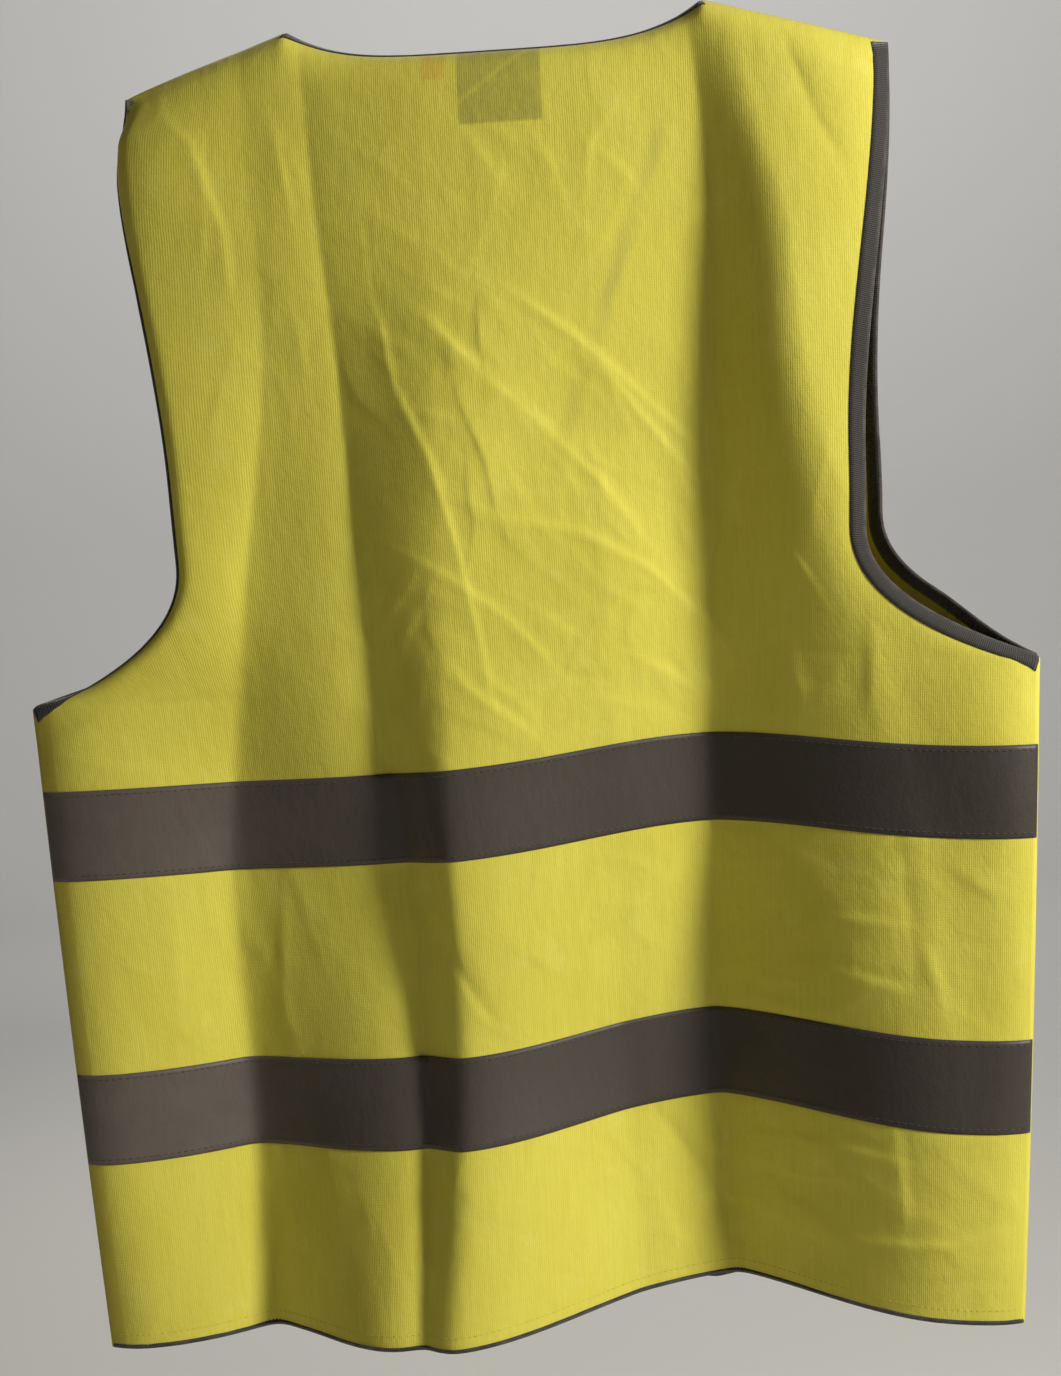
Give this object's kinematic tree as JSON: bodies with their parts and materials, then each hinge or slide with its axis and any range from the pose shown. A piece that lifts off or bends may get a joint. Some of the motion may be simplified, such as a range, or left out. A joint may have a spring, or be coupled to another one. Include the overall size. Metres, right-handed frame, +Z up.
{
  "type": "high visibility vest",
  "caption": "Sleeveless knitted safety vest, open at the front, with reflective bands round the body, dark bound edges and hook and loop closures.",
  "frame": {"origin": "midway between the two neck points, on the line of the shoulder seams", "axes": "+X to the wearer's left, +Y to the wearer's back, +Z up; the vest hangs with its front towards -Y"},
  "size_m": [0.5536, 0.1295, 0.7192],
  "materials": {
    "yellow_knit": "fine ribbed polyester knit",
    "reflective_tape": "satin glass-bead tape",
    "dark_binding": "ribbed braid",
    "hook_and_loop": "hooks and loops",
    "care_label": "woven satin",
    "size_tab": "woven satin"
  },
  "bodies": {
    "shell": {"back_panel": "yellow_knit", "back_upper_tape": "reflective_tape", "back_lower_tape": "reflective_tape", "back_neck_binding": "dark_binding", "back_hem_edging": "dark_binding", "left_front_panel": "yellow_knit", "left_front_upper_tape": "reflective_tape", "left_front_lower_tape": "reflective_tape", "left_front_hem_edging": "dark_binding", "left_armhole_binding": "dark_binding", "left_shoulder_seam": "yellow_knit", "left_side_seam": "yellow_knit", "right_front_panel": "yellow_knit", "right_front_upper_tape": "reflective_tape", "right_front_lower_tape": "reflective_tape", "right_front_hem_edging": "dark_binding", "right_armhole_binding": "dark_binding", "right_shoulder_seam": "yellow_knit", "right_side_seam": "yellow_knit"},
    "left_front": {"left_flap": "yellow_knit", "left_flap_upper_tape": "reflective_tape", "left_flap_lower_tape": "reflective_tape", "left_flap_hem_edging": "dark_binding", "left_front_binding": "dark_binding", "upper_loop_patch": "hook_and_loop", "lower_loop_patch": "hook_and_loop"},
    "right_front": {"right_flap": "yellow_knit", "right_flap_upper_tape": "reflective_tape", "right_flap_lower_tape": "reflective_tape", "right_flap_hem_edging": "dark_binding", "right_front_binding": "dark_binding", "upper_hook_patch": "hook_and_loop", "lower_hook_patch": "hook_and_loop"},
    "care_label": {"care_label": "care_label"},
    "size_tab": {"size_tab": "size_tab"}
  },
  "joints": [
    {"name": "left_front_swing", "type": "hinge", "parent": "shell", "child": "left_front", "pos_m": [0.114, -0.0265, 0], "axis": [-0.0867, 0.1019, 0.991], "range_deg": [0, 110]},
    {"name": "right_front_swing", "type": "hinge", "parent": "shell", "child": "right_front", "pos_m": [-0.114, -0.0265, 0], "axis": [-0.0867, -0.1019, -0.991], "range_deg": [0, 110]},
    {"name": "care_label_flip", "type": "hinge", "parent": "shell", "child": "care_label", "pos_m": [0, -0.0005, -0.02], "axis": [-1, 0, 0], "range_deg": [0, 100]},
    {"name": "size_tab_flip", "type": "hinge", "parent": "shell", "child": "size_tab", "pos_m": [0.032, -0.0005, -0.02], "axis": [-1, 0, 0], "range_deg": [0, 100]}
  ]
}
